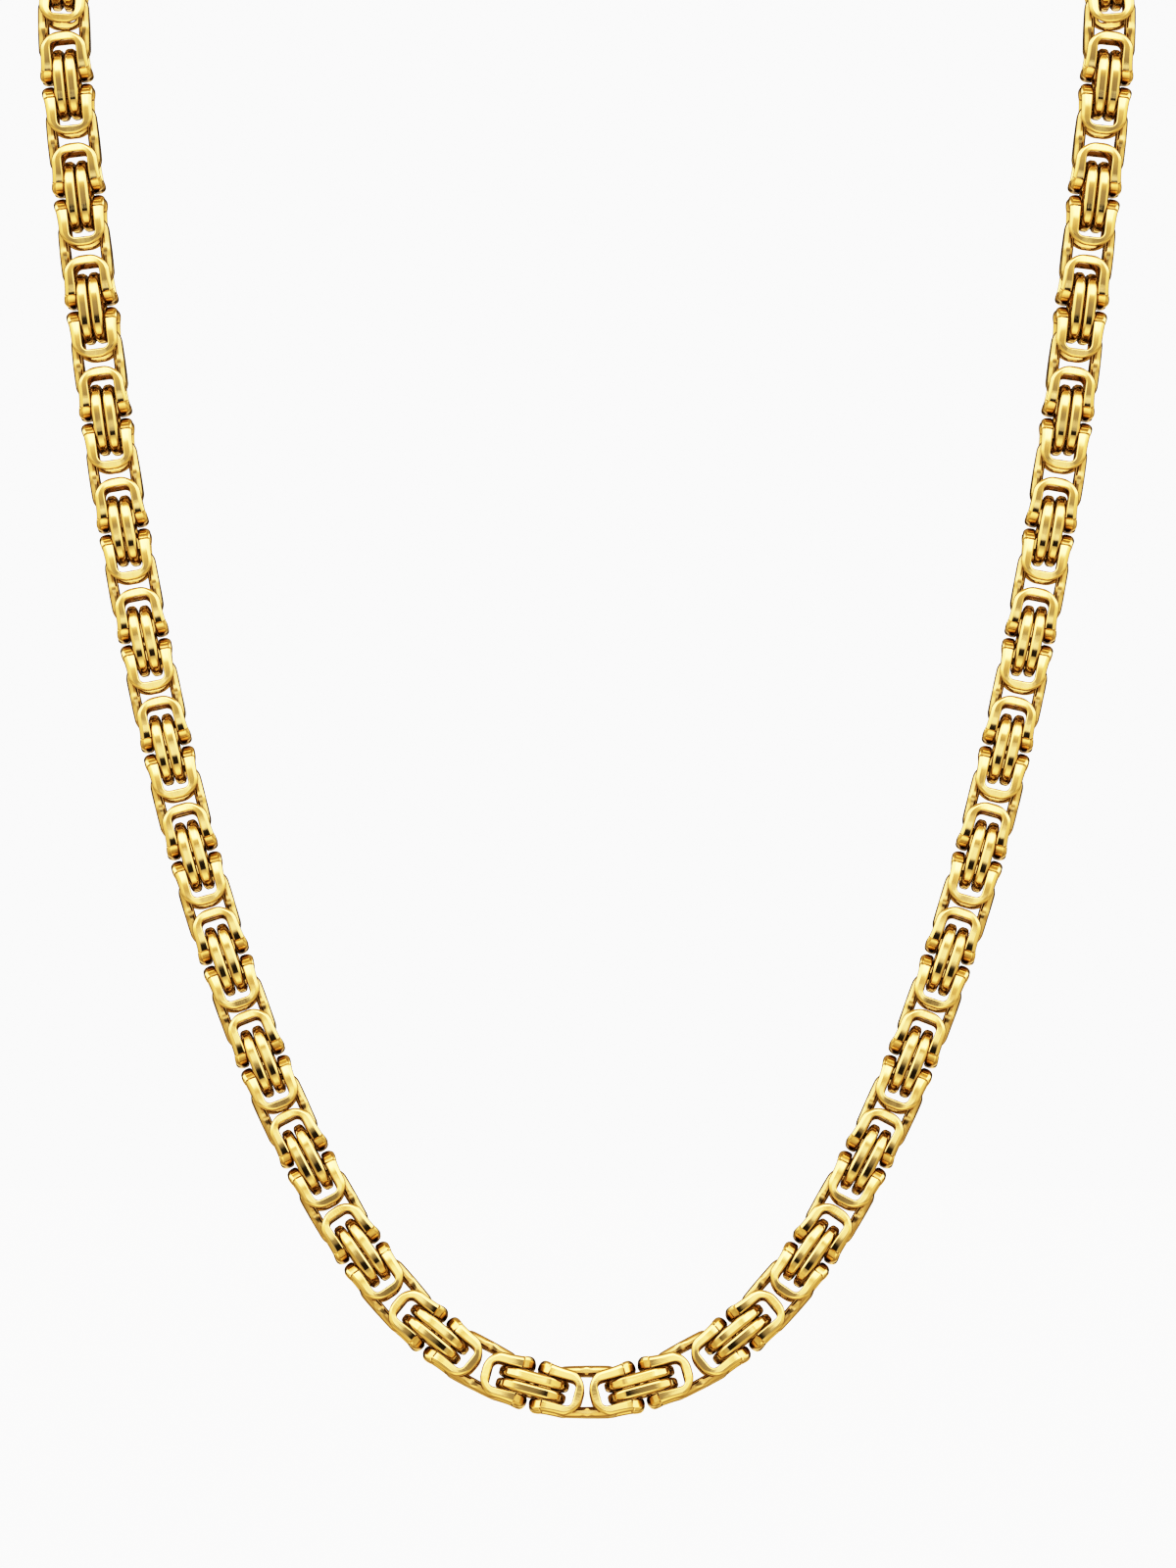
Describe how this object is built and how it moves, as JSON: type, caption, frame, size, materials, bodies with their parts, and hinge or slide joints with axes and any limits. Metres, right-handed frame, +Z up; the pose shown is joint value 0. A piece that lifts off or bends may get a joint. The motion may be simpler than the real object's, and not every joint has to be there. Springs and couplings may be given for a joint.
{
  "type": "byzantine chain necklace",
  "caption": "Polished yellow-gold byzantine chain necklace, worn: flat ovals in linked pairs, with rings folded round every other pair.",
  "frame": {"origin": "the middle of the clasp, where the necklace rests on the nape", "axes": "+X to the wearer's left, -Y to the front, +Z up"},
  "size_m": [0.1272, 0.0426, 0.2114],
  "materials": {
    "gold": "polished yellow gold plating"
  },
  "bodies": {
    "root": {"chain_left": "gold", "chain_right": "gold", "end_ring_left": "gold", "end_ring_right": "gold", "clasp": "gold"}
  },
  "joints": []
}
